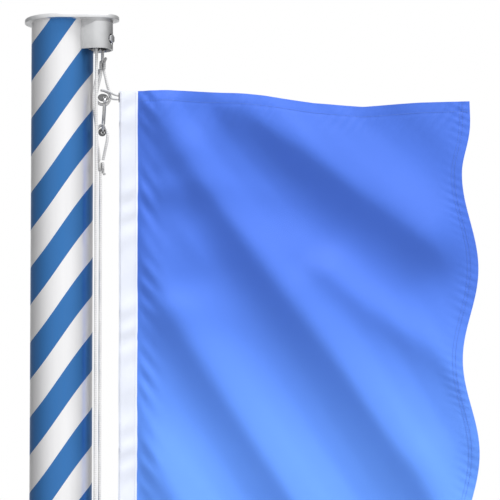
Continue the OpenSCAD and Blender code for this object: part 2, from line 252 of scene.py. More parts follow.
@dataclass(frozen=True)
class Finish:
    """What every finish has: its name, its main colour and the constants of its shader."""

    name: str
    color: Color
    roughness: float = 0.4
    metallic: float = 0.0
    constants: dict[str, float] = field(default_factory=dict, hash=False)

    def material(self) -> bpy.types.Material:
        """Builds the material once and returns it afterwards."""
        found = bpy.data.materials.get(self.name)
        if found:
            return found
        made = bpy.data.materials.new(self.name)
        made.use_nodes = True
        made.diffuse_color = (*self.color, 1)
        shader = made.node_tree.nodes["Principled BSDF"]
        shader.inputs["Base Color"].default_value = (*self.color, 1)
        shader.inputs["Roughness"].default_value = self.roughness
        shader.inputs["Metallic"].default_value = self.metallic
        for key, value in self.constants.items():
            shader.inputs[key].default_value = value
        self.dress(made.node_tree, shader.inputs)
        return made

    def dress(self, tree: Tree, inputs: bpy.types.bpy_prop_collection) -> None:
        """Adds the finish's own detail to its shader."""
        raise NotImplementedError


@dataclass(frozen=True)
class PolePaint(Finish):
    """Gloss paint on metal: faint orange peel, dulled patches and streaks of dust down the pole."""

    peel: float = 0.00002

    def dress(self, tree: Tree, inputs: bpy.types.bpy_prop_collection) -> None:
        """Adds peel, streaks and dull patches."""
        peel = GROUPS.place(tree, Group.GRAIN, Pits=420.0, Patches=9.0)
        streak = GROUPS.place(tree, Group.GRAIN, Pits=700.0, Patches=60.0, Stretch=0.04)
        dusty = tuple(0.93 * c + 0.012 for c in self.color)
        share = math_node(tree, "MULTIPLY", streak.outputs["Patch"], 0.5)
        tree.links.new(blend_colors(tree, share, self.color, dusty), inputs["Base Color"])
        tree.links.new(remap(tree, peel.outputs["Patch"], 0, 1, self.roughness, self.roughness + 0.06),
                       inputs["Roughness"])
        tree.links.new(bump(tree, peel.outputs["Height"], self.peel), inputs["Normal"])


@dataclass(frozen=True)
class CastMetal(Finish):
    """Cast or rolled metal: grainy skin, clouded colour and edges rubbed bright."""

    worn: Color = (0.85, 0.85, 0.86)
    pits: float = 1300.0
    depth: float = 0.00005
    patches: float = 30.0
    cloud: float = 0.16
    wear: float = 0.6

    def dress(self, tree: Tree, inputs: bpy.types.bpy_prop_collection) -> None:
        """Adds the skin, the clouds and the rubbed edges."""
        skin = GROUPS.place(tree, Group.GRAIN, Pits=self.pits, Patches=self.patches)
        edge = GROUPS.place(tree, Group.WEAR, Amount=self.wear)
        dull = tuple(c * (1 - self.cloud) for c in self.color)
        clouded = blend_colors(tree, skin.outputs["Patch"], self.color, dull)
        tree.links.new(blend_colors(tree, edge.outputs["Mask"], clouded, self.worn), inputs["Base Color"])
        tree.links.new(remap(tree, skin.outputs["Patch"], 0, 1, self.roughness, self.roughness + 0.1),
                       inputs["Roughness"])
        tree.links.new(bump(tree, skin.outputs["Height"], self.depth), inputs["Normal"])


@dataclass(frozen=True)
class Spangled(Finish):
    """Hot-dip zinc: crystals of slightly different grey, and white bloom where water stood."""

    crystal: float = 55.0

    def dress(self, tree: Tree, inputs: bpy.types.bpy_prop_collection) -> None:
        """Adds the crystals and the bloom."""
        place = put(tree, "TexCoord").outputs["Object"]
        cells = put(tree, "TexVoronoi", None, {"Vector": place, "Scale": self.crystal})
        tone = put(tree, "SeparateColor", None, {0: cells.outputs["Color"]}).outputs[0]
        light = tuple(min(1.0, 1.3 * c) for c in self.color)
        dark = tuple(0.72 * c for c in self.color)
        bloom = GROUPS.place(tree, Group.GRAIN, Pits=800.0, Patches=11.0)
        spangle = blend_colors(tree, tone, dark, light)
        whitened = math_node(tree, "MULTIPLY", bloom.outputs["Patch"], 0.35)
        tree.links.new(blend_colors(tree, whitened, spangle, (0.72, 0.73, 0.74)), inputs["Base Color"])
        tree.links.new(remap(tree, tone, 0, 1, self.roughness, self.roughness + 0.18), inputs["Roughness"])
        tree.links.new(bump(tree, bloom.outputs["Height"], 0.00005), inputs["Normal"])


@dataclass(frozen=True)
class Braided(Finish):
    """Braided rope: soft strands with painted shade, a grey, in the grooves between them, and loose fibre.
    """

    groove: Color = (0.36, 0.36, 0.4)
    strands: float = 4.0
    pitch: float = 0.006
    depth: float = 0.0004

    def dress(self, tree: Tree, inputs: bpy.types.bpy_prop_collection) -> None:
        """Adds strands, fibre and painted shade in the grooves."""
        place = put(tree, "UVMap", {"uv_map": "UVMap"}).outputs[0]
        braid = GROUPS.place(tree, Group.BRAID, Place=place, Strands=self.strands, Pitch=self.pitch)
        fibre = GROUPS.place(tree, Group.GRAIN, Pits=2600.0, Patches=40.0)
        tone = tuple(0.9 * c for c in self.color)
        yarn = blend_colors(tree, fibre.outputs["Patch"], self.color, tone)
        # painted shade: grey laid into the grooves between strands
        share = math_node(tree, "MULTIPLY", braid.outputs["Groove"], 0.75)
        tree.links.new(blend_colors(tree, share, yarn, self.groove), inputs["Base Color"])
        height = math_node(tree, "MULTIPLY_ADD", fibre.outputs["Height"], 0.25, braid.outputs["Height"])
        tree.links.new(bump(tree, height, self.depth), inputs["Normal"])


@dataclass(frozen=True)
class Woven(Finish):
    """Woven cloth: warp and weft threads, slubs and a slight drift of shade."""

    threads: float = 1600.0
    slant: float = 0.0
    depth: float = 0.00012
    shade: float = 0.86
    # painted light: a paler blue blended in towards the cloth's bottom, standing in for light that brightens
    # the lower cloth
    low_color: Color | None = None
    low_from: float = -0.04
    low_to: float = -0.66
    low_curve: float = 2.2

    def dress(self, tree: Tree, inputs: bpy.types.bpy_prop_collection) -> None:
        """Adds threads, slubs and drift, and, where the cloth has one, a paler foot: painted light that
        grows towards the cloth's bottom.
        """
        place = put(tree, "UVMap", {"uv_map": "UVMap"}).outputs[0]
        weave = GROUPS.place(tree, Group.WEAVE, Place=place, Threads=self.threads, Slant=self.slant)
        drift = GROUPS.place(tree, Group.GRAIN, Pits=300.0, Patches=7.0)
        shaded = tuple(self.shade * c for c in self.color)
        thread = blend_colors(tree, weave.outputs["Warp"], shaded, self.color)
        drifted = math_node(tree, "MULTIPLY", drift.outputs["Patch"], 0.3)
        cloth = blend_colors(tree, drifted, thread, shaded)
        # painted light: the cloth turns paler towards its bottom
        if self.low_color is not None:
            fall = put(tree, "SeparateXYZ", None, {0: place}).outputs[1]
            share = math_node(tree, "POWER", remap(tree, fall, self.low_from, self.low_to, 0, 1),
                              self.low_curve)
            painted_light_dim = tuple(self.shade * c for c in self.low_color)
            low = blend_colors(tree, weave.outputs["Warp"], painted_light_dim, self.low_color)
            cloth = blend_colors(tree, share, cloth, low)
        tree.links.new(cloth, inputs["Base Color"])
        tree.links.new(remap(tree, weave.outputs["Warp"], 0, 1, self.roughness + 0.12, self.roughness),
                       inputs["Roughness"])
        tree.links.new(bump(tree, weave.outputs["Height"], self.depth), inputs["Normal"])


STRIPE_BLUE = PolePaint("stripe_blue", (0.044, 0.180, 0.46), 0.33, 0.86)
STRIPE_WHITE = PolePaint("stripe_white", (0.88, 0.87, 0.875), 0.33, 0.86)
CAST_ALUMINIUM = CastMetal("blasted_casting", (0.88, 0.88, 0.885), 0.3, 0.96, depth=0.00002)
# The housing's aluminium is the cap's casting metal made darker, painted shade, and glossier.
HOUSING_ALUMINIUM_SHADED = CastMetal("cast_housing_painted_shade", (0.70, 0.70, 0.705), 0.12, 0.97, depth=0.000006, cloud=0.1,
                              wear=0.3)
ZINC = Spangled("galvanised_steel", (0.42, 0.43, 0.45), 0.38, 0.85)
STAINLESS = CastMetal("stainless_steel", (0.62, 0.62, 0.63), 0.22, 1.0, depth=0.00001, cloud=0.08)
HOOK_STEEL = CastMetal("bright_hook", (0.52, 0.52, 0.53), 0.24, 1.0, pits=900.0, depth=0.00001,
                       patches=200.0)
GATE_STEEL = CastMetal("gate_steel", (0.42, 0.42, 0.42), 0.25, 1.0, pits=900.0, depth=0.00001,
                       patches=200.0)
# Dark grey steel whose darkness is partly painted shade: on the thimbles it also stands for shade in the
# rope eyes, on the header bar it is a painted shadow.
DARK_STEEL_AND_SHADE = CastMetal("blackened_steel_and_painted_shade", (0.22, 0.22, 0.22), 0.38, 0.7, worn=(0.3, 0.3, 0.32), cloud=0.3)
NYLON = CastMetal("black_nylon", (0.012, 0.012, 0.013), 0.42, 0.0, worn=(0.05, 0.05, 0.05), pits=700.0)
ROPE = Braided("braided_rope", (0.74, 0.735, 0.73), 0.75, groove=(0.36, 0.355, 0.35))
# The knots' rope is the halyard rope made darker: painted shade in the tight knots.
SHADED_KNOT_ROPE = Braided("knotted_rope_painted_shade", (0.56, 0.555, 0.55), 0.75, groove=(0.22, 0.22, 0.22))
CORD = Braided("flag_cord", (0.62, 0.62, 0.63), 0.75, groove=(0.25, 0.25, 0.26), pitch=0.004, depth=0.00025)
TAPE = Woven("tape_weave", (0.81, 0.84, 0.93), 0.8, threads=900.0, depth=0.0003,
             constants={"Sheen Weight": 0.0, "Specular IOR Level": 0.2})
# The satin's paler foot is painted light, a brightening towards its bottom.
SATIN = Woven("flag_satin", (0.071, 0.174, 0.70), 0.5, threads=1500.0, slant=0.5,
              low_color=(0.125, 0.305, 0.91), constants={"Sheen Weight": 0.03, "Specular IOR Level": 0.14})
THREAD_BLUE = Woven("blue_thread", (0.10, 0.22, 0.68), 0.5, threads=3000.0)
THREAD_WHITE = Woven("white_thread", (0.8, 0.8, 0.9), 0.6, threads=3000.0)
FLOOR = CastMetal("floor", (0.5, 0.5, 0.5), 0.8, 0.0, cloud=0.02, wear=0.0)
WELD = CastMetal("weld_bead", (0.40, 0.41, 0.43), 0.42, 0.85, pits=500.0, depth=0.0002)


# ---------------------------------------------------------------- mesh helpers


def smooth_step(value: np.ndarray) -> np.ndarray:
    """Rises from 0 to 1 without corners as value goes from 0 to 1."""
    held = np.clip(value, 0, 1)
    return held * held * (3 - 2 * held)


def spline(points: Sequence[Sequence[float]], steps: int) -> np.ndarray:
    """Smooth curve through given points.

    Args:
        points: the points, two or more.
        steps: how many stretches lie between two of them.

    Returns:
        The curve's points, the last one included.
    """
    p = np.array(points, float)
    last = len(p) - 1
    made = []
    for i in range(last):
        a, b, c, d = p[max(i - 1, 0)], p[i], p[i + 1], p[min(i + 2, last)]
        for t in np.arange(steps) / steps:
            made.append(0.5 * (2 * b + (c - a) * t + (2 * a - 5 * b + 4 * c - d) * t * t
                               + (3 * b - a - 3 * c + d) * t ** 3))
    return np.array([*made, p[-1]])


def even(path: np.ndarray, step: float) -> np.ndarray:
    """Walks along a path and returns points a fixed step apart, both ends included."""
    run = np.concatenate([[0], np.cumsum(np.linalg.norm(np.diff(path, axis=0), axis=1))])
    marks = np.linspace(0, run[-1], max(3, int(run[-1] / step) + 1))
    return np.stack([np.interp(marks, run, path[:, k]) for k in range(3)], axis=1)


@dataclass
class Skin:
    """A mesh on its way: points, faces and each face corner's texture place."""

    points: np.ndarray
    faces: list[tuple[int, ...]]
    places: np.ndarray

    def __add__(self, other: "Skin") -> "Skin":
        """Joins two skins into one."""
        moved = [tuple(i + len(self.points) for i in face) for face in other.faces]
        return Skin(np.vstack([self.points, other.points]), self.faces + moved,
                    np.vstack([self.places, other.places]))


def rings_to_skin(rings: np.ndarray, turns: np.ndarray, marks: np.ndarray) -> Skin:
    """Skins rings of points into a closed tube with capped ends.

    Args:
        rings: ring, point, xyz.
        turns: texture place round the ring, one more than the ring has points.
        marks: texture place of each ring along the tube.

    Returns:
        The tube.
    """
    count, sides = rings.shape[:2]
    ring, side = np.meshgrid(np.arange(count - 1), np.arange(sides), indexing="ij")
    ring, side = ring.ravel(), side.ravel()
    after = (side + 1) % sides
    quads = np.stack([ring * sides + side, ring * sides + after, (ring + 1) * sides + after,
                      (ring + 1) * sides + side], axis=1)
    corners = np.stack([np.stack([turns[side], marks[ring]], 1), np.stack([turns[side + 1], marks[ring]], 1),
                        np.stack([turns[side + 1], marks[ring + 1]], 1),
                        np.stack([turns[side], marks[ring + 1]], 1)], axis=1).reshape(-1, 2)
    first = tuple(reversed(range(sides)))
    last = tuple(range((count - 1) * sides, count * sides))
    caps = np.zeros((2 * sides, 2))
    return Skin(rings.reshape(-1, 3), [*map(tuple, quads.tolist()), first, last], np.vstack([corners, caps]))


@dataclass(frozen=True)
class RopeMaker:
    """Sweeps a braided rope along a path."""

    diameter: float
    sides: int = 16
    step: float = 0.0008
    pitch: float = 0.006
    relief: float = 0.07
    taper: float = 0.0

    def sweep(self, path: np.ndarray) -> Skin:
        """Makes the rope's skin.

        Args:
            path: points along the rope's middle, in metres.

        Returns:
            The closed tube, with its ends drawn in by the taper length.
        """
        line = even(path, self.step)
        ahead = np.gradient(line, axis=0)
        ahead /= np.linalg.norm(ahead, axis=1, keepdims=True)
        start = np.array([0.0, 1.0, 0.0]) if abs(ahead[0][1]) < 0.9 else np.array([1.0, 0.0, 0.0])
        aside = np.empty_like(line)
        for i, way in enumerate(ahead):
            start = start - (start @ way) * way
            start /= np.linalg.norm(start)
            aside[i] = start
        other = np.cross(ahead, aside)
        run = np.concatenate([[0], np.cumsum(np.linalg.norm(np.diff(line, axis=0), axis=1))])
        angle = np.arange(self.sides) / self.sides * math.tau
        strands = self.sides // 4
        forth = np.cos(strands * angle[None, :] + math.tau * run[:, None] / self.pitch)
        back = np.cos(strands * angle[None, :] - math.tau * run[:, None] / self.pitch)
        radius = self.diameter / 2 * (1 - self.relief * (0.5 - 0.5 * forth * back))
        if self.taper:
            from_end = np.minimum(run, run[-1] - run) / self.taper
            radius = radius * np.sqrt(np.clip(1 - (1 - np.clip(from_end, 0, 1)) ** 2, 0.04, 1))[:, None]
        rings = (line[:, None] + radius[..., None] * (np.cos(angle)[None, :, None] * aside[:, None]
                                                      + np.sin(angle)[None, :, None] * other[:, None]))
        return rings_to_skin(rings, np.arange(self.sides + 1) / self.sides, run)


def make_piece(name: str, skin: Skin, finishes: Sequence[Finish], body: str,
               nodes: Sequence[str] = (), sharp_deg: float = 50.0) -> bpy.types.Object:
    """Turns a skin into a piece that rides on its body.

    Args:
        name: the piece's name.
        skin: its mesh.
        finishes: its finishes, one a material slot.
        body: the CAD body that it rides on.
        nodes: the CAD nodes that it stands for.
        sharp_deg: edges that turn more than this stay sharp.

    Returns:
        The new object.
    """
    mesh = bpy.data.meshes.new(name)
    mesh.from_pydata(skin.points.tolist(), [], skin.faces)
    layer = mesh.uv_layers.new(name="UVMap")
    layer.data.foreach_set("uv", skin.places.astype(np.float32).ravel())
    return settle(mesh, name, finishes, body, nodes, sharp_deg)


def settle(mesh: bpy.types.Mesh, name: str, finishes: Sequence[Finish], body: str,
           nodes: Sequence[str], sharp_deg: float) -> bpy.types.Object:
    mesh.update()
    mesh.shade_smooth()
    mesh.set_sharp_from_angle(angle=math.radians(sharp_deg))
    for finish in finishes:
        mesh.materials.append(finish.material())
    piece = bpy.data.objects.new(name, mesh)
    bpy.context.scene.collection.objects.link(piece)
    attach(piece, body)
    if nodes:
        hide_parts(*nodes)
    log.info("%s: %d faces on %s", name, len(mesh.polygons), body)
    return piece


def machined(node: str, finish: Finish, edge: float, body: str = "mast",
             sharp_deg: float = 32.0) -> bpy.types.Object:
    """Builds the finished form of a rigid part: its true faces with rounded edges.

    Args:
        node: the CAD node that gives the faces, which the piece stands for.
        finish: its finish.
        edge: the radius of the edges, in metres.
        body: the CAD body that it rides on.
        sharp_deg: edges that turn more than this are rounded.

    Returns:
        The new object.
    """
    form = bmesh.new()
    form.from_mesh(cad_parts[node].data)
    bmesh.ops.remove_doubles(form, verts=form.verts, dist=0.01 * MM)
    bmesh.ops.dissolve_limit(form, angle_limit=math.radians(0.5), verts=form.verts, edges=form.edges)
    rough = bpy.data.meshes.new(node + "_rough")
    form.to_mesh(rough)
    form.free()
    holder = bpy.data.objects.new(node + "_rough", rough)
    bpy.context.scene.collection.objects.link(holder)
    rounding = holder.modifiers.new("edges", "BEVEL")
    rounding.width = edge
    rounding.segments = 3
    rounding.limit_method = "ANGLE"
    rounding.angle_limit = math.radians(sharp_deg)
    rounding.use_clamp_overlap = True
    ready = holder.evaluated_get(bpy.context.evaluated_depsgraph_get())
    mesh = bpy.data.meshes.new_from_object(ready)
    mesh.name = "finished_" + node
    mesh.materials.clear()
    bpy.data.objects.remove(holder)
    bpy.data.meshes.remove(rough)
    return settle(mesh, "finished_" + node, [finish], body, [node], sharp_deg)


# ---------------------------------------------------------------- studio


@dataclass(frozen=True)
class Studio:
    """Camera, floor and soft light. Angles in degrees, lengths in metres."""

    bearing: float = 24.0
    rise: float = -9.2
    distance: float = 12.0
    view_width: float = 0.8025
    aim_across: float = 0.3023
    aim_height: float = 5.6307
    floor_radius: float = 9.0
    sun_power: float = 3.7
    sun_right: float = 0.38
    sun_toward: float = 0.33
    sun_up: float = 0.86
    sun_spread: float = 22.0
    behind_from: float = -0.78
    level_light: float = 0.42
    lean_light: float = 0.33
    panel_light: float = 0.19
    top_light: float = 0.4
    behind_light: float = 0.6

    def directions(self) -> tuple[Vector, Vector]:
        """Returns the level directions to the right of the camera and towards it."""
        turn = math.radians(self.bearing)
        return Vector((math.cos(turn), math.sin(turn), 0)), Vector((math.sin(turn), -math.cos(turn), 0))

    def camera(self) -> None:
        """Makes the camera."""
        right, toward = self.directions()
        aim = right * self.aim_across + Vector((0, 0, self.aim_height))
        lift = math.radians(self.rise)
        back = toward * math.cos(lift) + Vector((0, 0, math.sin(lift)))
        data = bpy.data.cameras.new("camera")
        data.lens = data.sensor_width * self.distance / self.view_width
        data.clip_start, data.clip_end = 0.1, 200
        camera = bpy.data.objects.new("camera", data)
        camera.location = aim + back * self.distance
        camera.rotation_mode = "QUATERNION"
        camera.rotation_quaternion = (-back).to_track_quat("-Z", "Y")
        bpy.context.scene.collection.objects.link(camera)
        bpy.context.scene.camera = camera

    def floor(self) -> None:
        """Makes a round pale floor."""
        form = bmesh.new()
        bmesh.ops.create_circle(form, cap_ends=True, segments=128, radius=self.floor_radius)
        mesh = bpy.data.meshes.new("floor")
        form.to_mesh(mesh)
        form.free()
        mesh.materials.append(FLOOR.material())
        floor = bpy.data.objects.new("floor", mesh)
        floor.location.z = -0.0005
        bpy.context.scene.collection.objects.link(floor)

    def lights(self) -> None:
        """Makes a soft high key light from the right and a world that is bright in front and behind."""
        right, toward = self.directions()
        source = self.sun_right * right + self.sun_toward * toward + Vector((0, 0, self.sun_up))
        source = source.normalized()
        data = bpy.data.lights.new("key", "SUN")
        data.energy = self.sun_power
        data.angle = math.radians(self.sun_spread)
        key = bpy.data.objects.new("key", data)
        key.rotation_mode = "QUATERNION"
        key.rotation_quaternion = source.to_track_quat("Z", "Y")
        bpy.context.scene.collection.objects.link(key)

        world = bpy.data.worlds.new("studio")
        bpy.context.scene.world = world
        world.use_nodes = True
        tree = world.node_tree
        tree.nodes.clear()
        way = put(tree, "TexCoord").outputs["Generated"]
        facing = put(tree, "VectorMath", {"operation": "DOT_PRODUCT"}, {0: way, 1: tuple(toward)})
        height = put(tree, "SeparateXYZ", None, {0: way}).outputs[2]
        panel = remap(tree, facing.outputs["Value"], 0.0, 1.0, self.level_light,
                      self.level_light + self.panel_light)
        level = math_node(tree, "MULTIPLY_ADD", facing.outputs["Value"], self.lean_light, panel)
        behind = remap(tree, facing.outputs["Value"], self.behind_from, -1.0, 0.0, self.behind_light)
        level = math_node(tree, "ADD", level, behind)
        strength = math_node(tree, "MULTIPLY_ADD", height, self.top_light, level)
        glow = put(tree, "Background", None, {"Strength": strength})
        glow.inputs["Color"].default_value = (0.98, 0.99, 1, 1)
        plain = put(tree, "Background", None, {"Strength": 1.0})
        plain.inputs["Color"].default_value = (1, 1, 1, 1)
        seen = put(tree, "LightPath").outputs["Is Camera Ray"]
        mixed = put(tree, "MixShader", None, {0: seen, 1: glow.outputs[0], 2: plain.outputs[0]})
        put(tree, "OutputWorld", None, {"Surface": mixed.outputs[0]})
        bpy.context.scene.view_settings.view_transform = "Standard"

    def build(self) -> None:
        """Makes the whole studio."""
        self.camera()
        self.floor()
        self.lights()


# ---------------------------------------------------------------- base and pole


@dataclass(frozen=True)
class Base:
    """Foot plate, ribbed socket and clamp screws, with their welds."""

    bead: float = 2.6 * MM
    ripple: float = 3.2 * MM
    rib_half: float = 0.004

    def weld(self, path: np.ndarray, shift: float) -> Skin:
        """Lays one weld bead along a path.

        Args:
            path: points along the bead.
            shift: where its ripples start, so that beads differ.
        """
        line = even(path, 1.0 * MM)
        rope = RopeMaker(2 * self.bead, sides=10, step=1.0 * MM, pitch=1.0, relief=0.0, taper=self.bead)
        skin = rope.sweep(line)
        rings = skin.points.reshape(-1, 10, 3)
        middle = rings.mean(axis=1, keepdims=True)
        run = np.arange(len(rings)) * MM
        ripples = 0.16 * np.abs(np.sin(math.pi * run / self.ripple + shift))
        swell = 1 + ripples - 0.08 * np.cos(run * 90 + shift)
        skin.points = (middle + (rings - middle) * swell[:, None, None]).reshape(-1, 3)
        return skin

    def build(self) -> None:
        """Makes the base's pieces."""
        for node in ("base_plate", "base_ribs", "base_socket"):
            machined(node, ZINC, 1.2 * MM)
        machined("socket_screws", STAINLESS, 0.5 * MM)
        low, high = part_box("base_socket")
        rib_top, rib_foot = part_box("base_ribs")[1].z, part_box("base_ribs")[1].x
        radius, floor = high.x, low.z
        turn = np.linspace(0, math.tau, 400)
        ring = np.stack([radius * np.cos(turn), radius * np.sin(turn), np.full_like(turn, floor)], 1)
        beads = self.weld(ring, 0.0)
        half = self.rib_half
        for quarter in range(4):
            c, s = math.cos(quarter * math.pi / 2), math.sin(quarter * math.pi / 2)
            for side in (-half, half):
                flat = np.array([[radius, side, floor], [rib_foot - 2 * MM, side, floor]])
                tall = np.array([[radius, side, floor], [radius, side, rib_top - 2 * MM]])
                for path in (flat, tall):
                    spun = np.stack([c * path[:, 0] - s * path[:, 1], s * path[:, 0] + c * path[:, 1],
                                     path[:, 2]], 1)
                    beads = beads + self.weld(spun, quarter + side)
        make_piece("weld_beads", beads, [WELD], "mast")


@dataclass(frozen=True)
class Pole:
    """Round pole in two blue and two white bands that climb round it, steepest in front and behind."""

    starts: int = 2
    pitch: float = 121.33 * MM
    blue_foot: float = 5722.7 * MM
    front_bearing: float = -66.0
    front_swing: float = 10.6 * MM
    side_rise: float = 8.5 * MM
    even_swing: float = 12.0 * MM
    columns: int = 120

    def build(self) -> None:
        """Cuts the pole's wall along the bands, so that each band has clean painted edges."""
        low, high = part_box("pole_tube")
        radius = high.x
        half = self.pitch / 2
        lead = self.pitch * self.starts
        skip = 2 * self.starts
        turn = np.arange(self.columns) / self.columns
        from_front = turn * math.tau - math.radians(self.front_bearing)
        climb = (lead * from_front / math.tau + self.front_swing * np.sin(from_front)
                 + self.even_swing * np.sin(2 * from_front) + self.side_rise * (1 - np.cos(from_front)))
        lowest = -math.ceil((self.blue_foot + 2 * lead) / half)
        highest = math.ceil((high.z - self.blue_foot) / half) + skip + 2
        rows = np.arange(lowest, highest)
        level = self.blue_foot + rows[:, None] * half + climb[None, :]
        angle = np.broadcast_to(turn[None, :] * math.tau, level.shape)
        points = np.stack([radius * np.cos(angle), radius * np.sin(angle), level], axis=2).reshape(-1, 3)
        faces, kinds = [], []
        for i, row in enumerate(rows[:-1]):
            for k in range(self.columns):
                wraps = k + 1 == self.columns
                beside = 0 if wraps else k + 1
                rise = skip if wraps else 0
                if i + rise + 1 >= len(rows):
                    continue
                faces.append((i * self.columns + k, (i + rise) * self.columns + beside,
                              (i + rise + 1) * self.columns + beside, (i + 1) * self.columns + k))
                kinds.append(int(row) % 2)
        mesh = bpy.data.meshes.new("pole")
        mesh.from_pydata(points.tolist(), [], faces)
        mesh.polygons.foreach_set("material_index", kinds)
        form = bmesh.new()
        form.from_mesh(mesh)
        for place, way in ((low.z, -1), (high.z, 1)):
            everything = form.verts[:] + form.edges[:] + form.faces[:]
            bmesh.ops.bisect_plane(form, geom=everything, dist=1e-6, plane_co=(0, 0, place),
                                   plane_no=(0, 0, way), clear_outer=True)
            rim = [edge for edge in form.edges
                   if edge.is_boundary and abs(edge.verts[0].co.z - place) < 1e-5]
            bmesh.ops.edgeloop_fill(form, edges=rim)
        bmesh.ops.recalc_face_normals(form, faces=form.faces)
        form.to_mesh(mesh)
        form.free()
        settle(mesh, "pole", [STRIPE_BLUE, STRIPE_WHITE], "mast", ["pole_tube"], 50.0)


@dataclass(frozen=True)
class Head:
    """Cap plate, cast pulley housing, wheel and axle."""

    def build(self) -> None:
        """Makes the head's pieces."""
        machined("cap_plate", CAST_ALUMINIUM, 0.5 * MM)
        machined("pulley_housing", HOUSING_ALUMINIUM_SHADED, 0.8 * MM)
        machined("axle_bolt", STAINLESS, 0.4 * MM)
        machined("axle_washer", STAINLESS, 0.2 * MM)
        machined("sheave", NYLON, 0.4 * MM, "sheave")


# ---------------------------------------------------------------- flag's own frame


@dataclass(frozen=True)
class Hang:
    """The frame that hangs on the rear fall: along the flag, away from the viewer, up from its top."""

    corner: Vector
    drop: float
    bearing: float = math.radians(24)

    @classmethod
    def from_frame(cls) -> "Hang":
        """Takes the frame's corner from the rear fall and the flag's header."""
        low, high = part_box("halyard_rear_top")
        foot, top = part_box("flag_header")
        return cls(Vector(((low.x + high.x) / 2, (low.y + high.y) / 2, top.z)), top.z - foot.z)

    def place(self, points: np.ndarray, low: bool = False) -> np.ndarray:
        """Moves points from the hanging frame into the model's, in metres.

        Args:
            points: along, away and up, one row a point.
            low: True for the mirrored set at the flag's bottom corner.
        """
        c, s = math.cos(self.bearing), math.sin(self.bearing)
        up = -self.drop - points[:, 2] if low else points[:, 2]
        return np.stack([self.corner.x + c * points[:, 0] - s * points[:, 1],
                         self.corner.y + s * points[:, 0] + c * points[:, 1], self.corner.z + up], 1)


# ---------------------------------------------------------------- halyard


KNOT = [(-2.5, -2.2, -15.0), (-2.8, -2.9, -9.5), (-2.7, -2.6, -4.0), (-2.4, 0.0, -1.6), (-2.3, 2.6, -5.0),
        (-1.6, 3.0, -10.5), (0.4, 2.8, -12.8), (2.2, 2.8, -9.5), (2.5, 2.4, -4.2), (2.6, 0.0, -1.8),
        (2.8, -2.5, -4.4), (2.9, -2.9, -9.5), (2.4, -2.2, -15.0)]
KNOT_TAIL = [(1.6, 1.6, -8.0), (2.6, 1.6, -2.0), (4.0, 0.8, 2.0), (6.0, 0.2, 6.0)]
EYE_TOP = [(2.4, 0, 33.5), (4.6, 0, 24), (7, 1, 13), (9.4, 3, 4), (12, 6, -5), (11, 7, -14),
           (6.8, 5, -20.6), (2, 3.6, -21.4), (-4, 4, -20.4), (-9, 4.8, -16), (-10.2, 4.4, -8),
           (-8.6, 3.4, 2), (-6, 1.8, 13), (-3, 0.4, 26), (-2.6, 0, 33.5)]
BYPASS = [(-4.6, 6, 36), (-8.4, 4.6, 28), (-11.5, 1, 12), (-13.6, -2, -4), (-14, -2.4, -20),
          (-12.6, -1, -36), (-10.4, 2, -52), (-9.4, 5, -70), (-8.6, 7, -88), (-7, 8, -104),
          (-5.4, 7.4, -116)]
EYE_LOW = [(1.2, 0, -113.2), (3.2, -2, -104), (5.8, -4.4, -92), (8.2, -6.2, -80), (8.6, -6.4, -70),
           (6.2, -4.4, -61.4), (1.4, -2, -57), (-4.6, -3, -57.8), (-9, -5, -64.4), (-9.6, -6, -73),
           (-8, -5, -84), (-5.8, -3, -98), (-4.4, 0, -113.2)]
FLAG_LOOP = [(26.4, 0, -7.4), (19, -1, -5.6), (11, -4.6, -2.2), (4.5, -6.6, -0.2), (-0.6, -5, 0.6),
             (-1.6, 0, 0.9), (1.4, 2.6, 1.1), (5.2, 2.2, -0.6), (9, 0.2, -2.8), (12.4, -0.6, -8.4),
             (15, -0.7, -12), (20, -0.6, -13.2), (26.4, 0, -13.2)]


class End(Enum):
    """The two corners of the flag that are clipped to the halyard."""

    TOP = "top"
    LOW = "low"


